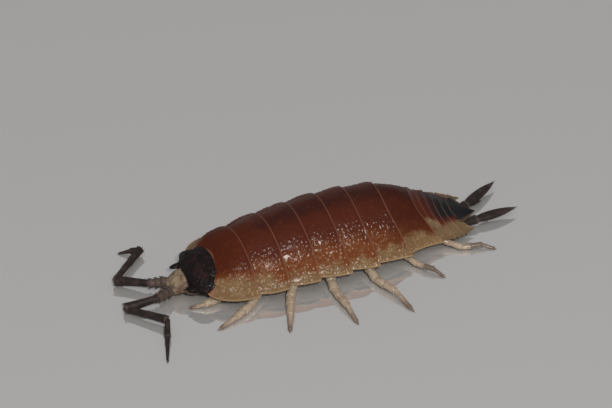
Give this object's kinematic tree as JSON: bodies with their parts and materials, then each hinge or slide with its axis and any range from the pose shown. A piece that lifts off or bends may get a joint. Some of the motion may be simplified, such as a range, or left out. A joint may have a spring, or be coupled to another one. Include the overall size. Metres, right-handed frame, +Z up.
{
  "type": "woodlouse",
  "caption": "Life-size museum model of a woodlouse standing on its legs: overlapping domed shell plates, dark head, bent feelers and a dark tail with two pointed fans",
  "frame": {"origin": "on the floor, under the middle of the whole, feelers and tail fans included", "axes": "+X runs from the head to the tail, +Y is the animal's right side, +Z is up"},
  "size_m": [0.024, 0.0116, 0.0034],
  "materials": {
    "head_shell": "finely grained dark shell with a low sheen",
    "eye": "glossy black facets",
    "feeler": "satin dark brown with pale edge lines",
    "trunk_shell": "glossy, finely pitted red-brown shell with cream side lobes",
    "leg": "satin, slightly translucent cream with brown joints",
    "tail_shell": "glossy blue-black shell with tan side points",
    "tail_fan": "satin dark brown",
    "gill_cover": "satin pale cream"
  },
  "bodies": {
    "root": {"head": "head_shell", "eye_left": "eye", "feeler_left_base": "feeler", "feeler_left_fourth": "feeler", "feeler_left_fifth": "feeler", "feeler_left_flagellum": "feeler", "eye_right": "eye", "feeler_right_base": "feeler", "feeler_right_fourth": "feeler", "feeler_right_fifth": "feeler", "feeler_right_flagellum": "feeler", "trunk_plate_1": "trunk_shell", "leg_left_1": "leg", "leg_right_1": "leg", "trunk_plate_2": "trunk_shell", "leg_left_2": "leg", "leg_right_2": "leg", "trunk_plate_3": "trunk_shell", "leg_left_3": "leg", "leg_right_3": "leg", "trunk_plate_4": "trunk_shell", "leg_left_4": "leg", "leg_right_4": "leg", "trunk_plate_5": "trunk_shell", "leg_left_5": "leg", "leg_right_5": "leg", "trunk_plate_6": "trunk_shell", "leg_left_6": "leg", "leg_right_6": "leg", "trunk_plate_7": "trunk_shell", "leg_left_7": "leg", "leg_right_7": "leg", "tail_plate_1": "tail_shell", "tail_plate_2": "tail_shell", "tail_plate_3": "tail_shell", "tail_plate_4": "tail_shell", "tail_plate_5": "tail_shell", "telson": "tail_shell", "tail_fan_left": "tail_fan", "tail_fan_right": "tail_fan", "gill_covers": "gill_cover"}
  },
  "joints": []
}
